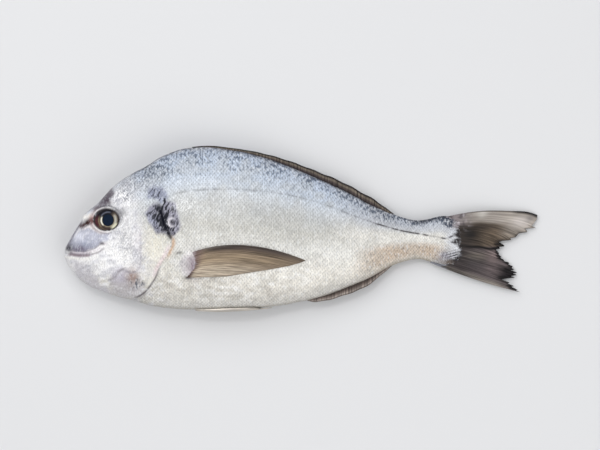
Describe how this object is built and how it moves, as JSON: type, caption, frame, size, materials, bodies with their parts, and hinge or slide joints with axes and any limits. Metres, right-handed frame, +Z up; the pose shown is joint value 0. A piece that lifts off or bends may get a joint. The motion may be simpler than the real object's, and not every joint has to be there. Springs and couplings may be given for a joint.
{
  "type": "sea bream",
  "caption": "Whole fresh gilthead sea bream lying on its right flank: deep oval body, small mouth, folded fins and a forked tail fin.",
  "frame": {"origin": "middle of the fish's bounding box, on the surface that it lies on", "axes": "-X towards the snout and +X towards the tail, +Y towards the back, +Z up, out of the left flank"},
  "size_m": [0.2796, 0.0976, 0.0363],
  "materials": {
    "skin": "wet silvery scaled skin, blue-grey on the back and off-white on the belly",
    "fin": "thin olive-brown fin membrane on darker rays, black at the tips",
    "eye": "wet clear eye, blue-black pupil in a pale gold ring"
  },
  "bodies": {
    "root": {"sea_bream": "skin"}
  },
  "joints": []
}
